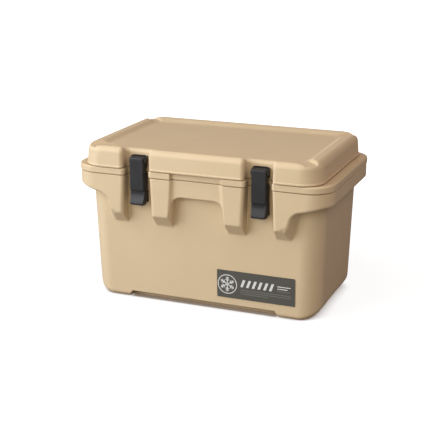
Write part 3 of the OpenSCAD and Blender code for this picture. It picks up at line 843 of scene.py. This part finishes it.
def plate():
    m = Material("plate_charcoal")
    streak = m.streaks(stretch=(60.0, 1500.0, 1500.0), detail=3.0)
    colour = m.mix(m.ramp(streak, band=(0.3, 0.7)), (0.083, 0.079, 0.066), (0.098, 0.093, 0.079))
    wear = m.wear(radius=0.0005, gain=0.2,
                  patches=m.blotches(scale=260.0, detail=5.0, rough=0.7, band=(0.45, 0.65)))
    return m.finish(Base_Color=m.mix(wear, colour, (0.22, 0.21, 0.19), strength=0.5),
                    Roughness=m.blotches(scale=120.0, detail=3.0, to=(0.42, 0.54)),
                    Normal=m.bump(streak, strength=0.15, distance=0.00003))


def ink(name, colour):
    m = Material(name)
    patches = m.blotches(scale=900.0, detail=4.0, rough=0.7, band=(0.35, 0.65))
    return m.finish(Base_Color=m.mix(patches, tint(colour, 0.93), colour),
                    Roughness=m.blotches(scale=200.0, to=(0.40, 0.52)),
                    Normal=m.bump(m.noise(scale=1500.0), strength=0.15, distance=0.00003))


FINISH = {"sand_shell": sand(), "black_plastic": black(), "steel": steel(), "liner_grey": grey(),
          "gasket": rubber(), "foam": foam(), "plate": plate()}
WHITE_INK = ink("print_white", (0.78, 0.78, 0.76))
GREY_INK = ink("print_grey", (0.20, 0.195, 0.18))


# ------------------------------------------------------------------ build the pieces
def dress(ob, material):
    ob.data.materials.clear()
    ob.data.materials.append(material)


def place(ob, body, slot, node=None, material=None):
    dress(ob, material or FINISH[slot])
    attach(ob, body)
    if node:
        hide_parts(node)


for node, body, slot, field, grid in (
    ("outer_shell", "body", "sand_shell", outer_shell, SHELL_GRID),
    ("rim_collar", "body", "sand_shell", rim_collar, COLLAR_GRID),
    ("lid_shell", "lid", "sand_shell", lid_shell, LID_GRID),
    ("inner_liner", "body", "liner_grey", inner_liner, LINER_GRID),
    ("lid_liner", "lid", "liner_grey", lid_liner, LID_LINER_GRID),
):
    place(field_object(node + "_look", field, grid), body, slot, node)

for side, middle in (("left", -LATCH_X), ("right", LATCH_X)):
    lever = field_object(side + "_lever_look", lever_field(middle), lever_grid(middle))
    place(lever, "latch_" + side, "black_plastic", side + "_latch_lever")

for node, body, middle, offsets, y, heights, to_back in SCREW_SETS:
    places = [(s * middle + dx, y, z) for s in (-1, 1) for dx in offsets for z in heights]
    place(screw_set(node + "_look", places, to_back), body, "steel", node)

place(white_marks(), "body", "plate", material=WHITE_INK)
place(grey_lines(), "body", "plate", material=GREY_INK)

# CAD pieces that stay, left and right alike: slot and bevel width in metres
CAD_PARTS = {
    "body_insulation": ("foam", None), "lid_insulation": ("foam", None),
    "name_plate": ("plate", 0.00025), "lid_gasket": ("gasket", 0.0003),
    "latch_keeper": ("black_plastic", 0.0005), "latch_bracket": ("black_plastic", 0.0005),
    "hinge_base": ("black_plastic", 0.0005), "hinge_leaf": ("black_plastic", 0.0005),
    "hinge_pin": ("steel", 0.0006), "latch_pin": ("steel", 0.0005),
    "drain_spout": ("black_plastic", 0.0005), "drain_nut": ("black_plastic", 0.0005),
    "drain_plug": ("black_plastic", 0.0008), "drain_seal": ("gasket", 0.0004),
}


def soften_edges(ob, width):
    weld = ob.modifiers.new("weld", "WELD")
    weld.merge_threshold = 0.00002
    bevel = ob.modifiers.new("bevel", "BEVEL")
    bevel.width = width
    bevel.segments = 2
    bevel.limit_method = "ANGLE"
    bevel.angle_limit = math.radians(32)
    bevel.harden_normals = False
    normals = ob.modifiers.new("normals", "WEIGHTED_NORMAL")
    normals.keep_sharp = True
    ob.data.polygons.foreach_set("use_smooth", [True] * len(ob.data.polygons))


for name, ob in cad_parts.items():
    if ob.hide_render:
        dress(ob, FINISH["sand_shell"])
        continue
    slot, width = CAD_PARTS[name.removeprefix("left_").removeprefix("right_")]
    dress(ob, FINISH[slot])
    if width is not None:
        soften_edges(ob, width)


# ------------------------------------------------------------------ floor
def floor_material():
    """white to the camera with a painted contact shadow; other rays meet a soft warm bounce"""
    m = Material("studio_floor_white")
    seen = m.node("LightPath").outputs["Is Camera Ray"]
    diffuse = m.node("BsdfDiffuse", Color=(0.25,) * 3)
    position = m.node("NewGeometry").outputs["Position"]
    distance = m.node("VectorMath", position, settings={"operation": "LENGTH"}).outputs["Value"]
    near_glow = 0.86
    glow = m.ramp(distance, band=(0.30, 1.10), to=(near_glow, near_glow + 0.22))
    glow = m.math("ADD", glow, m.blotches(scale=30.0, detail=3.0, band=(0.0, 1.0),
                                          to=(-0.004, 0.004)))
    # painted contact shadow in the floor's colour, deepest within the box's footprint
    spot = m.node("SeparateXYZ", m.node("NewGeometry").outputs["Position"]).outputs
    half_x, half_y = 0.1520, 0.1222
    outside = m.math("MAXIMUM", m.math("SUBTRACT", m.math("ABSOLUTE", spot["X"]), half_x),
                     m.math("SUBTRACT", m.math("ABSOLUTE", spot["Y"]), half_y))
    lit = m.math("MINIMUM", m.openness(distance=0.03, band=(0.12, 0.44)),
                 m.ramp(outside, band=(-0.002, 0.002)))
    tone = m.mix(lit, (0.16, 0.108, 0.066), (1.0, 1.0, 1.0))
    tone = m.mix(seen, (1.0, 0.68, 0.58), tone)
    bounce = 0.055
    strength = m.math("ADD", m.math("MULTIPLY", seen, glow),
                      m.math("MULTIPLY", m.math("SUBTRACT", 1.0, seen), bounce))
    return m.surface(m.node("AddShader", diffuse.outputs[0],
                            m.node("Emission", Color=tone, Strength=strength).outputs[0]))


bpy.ops.mesh.primitive_plane_add(size=1.0)
floor = bpy.context.object
floor.name = "studio_floor"
floor.scale = (60, 60, 1)
floor.location = (0, 0, -0.0002)
dress(floor, floor_material())

# ------------------------------------------------------------------ world
AMBIENT = 0.055
AMBIENT_TINT = (1.0, 0.71, 0.64, 1.0)
# reflections: band of the incoming X direction, strength of the dim room and the bright card
CARD_RAMP = (0.50, 0.90, 0.14, 1.1)

world = bpy.data.worlds.new("studio")
world.use_nodes = True
nodes, link = world.node_tree.nodes, world.node_tree.links.new
background = nodes["Background"]
background.inputs[0].default_value = AMBIENT_TINT
split = nodes.new("ShaderNodeSeparateXYZ")
link(nodes.new("ShaderNodeNewGeometry").outputs["Incoming"], split.inputs[0])
card = nodes.new("ShaderNodeMapRange")
card.interpolation_type = "SMOOTHSTEP"
link(split.outputs["X"], card.inputs[0])
for i, value in enumerate(CARD_RAMP):
    card.inputs[i + 1].default_value = value
pick = nodes.new("ShaderNodeMix")
link(nodes.new("ShaderNodeLightPath").outputs["Is Glossy Ray"], pick.inputs[0])
pick.inputs[2].default_value = AMBIENT
link(card.outputs[0], pick.inputs[3])
link(pick.outputs[0], background.inputs[1])
bpy.context.scene.world = world

# ------------------------------------------------------------------ lights and camera
LIGHT_AIM = Vector((0.0, -0.1, 0.2))
# name, direction from the aim, distance, disk size, brightness at the aim, colour
LIGHTS = [
    ("key_light", (-0.713, -0.563, 0.43), 2.6, 3.0, 1.09, (0.87, 0.92, 1.0)),
    ("fill_light", (0.28, -1.0, 0.45), 3.0, 2.2, 0.25, (1.0, 0.95, 0.74)),
    ("top_light", (0.05, -0.15, 1.0), 2.6, 2.4, 0.125, (1.0, 0.96, 0.86)),
    ("right_light", (0.68, -0.10, 0.72), 2.8, 1.8, 0.235, (1.0, 0.87, 0.92)),
    ("rear_light", (-0.20, 1.0, 0.12), 3.0, 1.6, 0.30, (1.0, 0.97, 0.92)),
]

for name, direction, distance, size, brightness, colour in LIGHTS:
    light = bpy.data.lights.new(name, "AREA")
    light.shape = "DISK"
    light.size = size
    light.energy = brightness * math.pi ** 2 * (distance ** 2 + size ** 2 / 4)
    light.color = colour
    lamp = bpy.data.objects.new(name, light)
    bpy.context.scene.collection.objects.link(lamp)
    spot = LIGHT_AIM + Vector(direction).normalized() * distance
    lamp.location = spot
    lamp.rotation_euler = (LIGHT_AIM - spot).to_track_quat("-Z", "Y").to_euler()
    lamp.visible_glossy = name != "rear_light"

lens = bpy.data.cameras.new("camera")
lens.lens = 85.75
lens.sensor_width = 36.0
camera = bpy.data.objects.new("camera", lens)
bpy.context.scene.collection.objects.link(camera)
camera.location = (0.745, -1.8922, 0.764)
camera.rotation_euler = (math.radians(73.0), 0.0, math.radians(21.8))
bpy.context.scene.camera = camera
bpy.context.scene.view_settings.view_transform = "Standard"
bpy.context.scene.view_settings.look = "None"
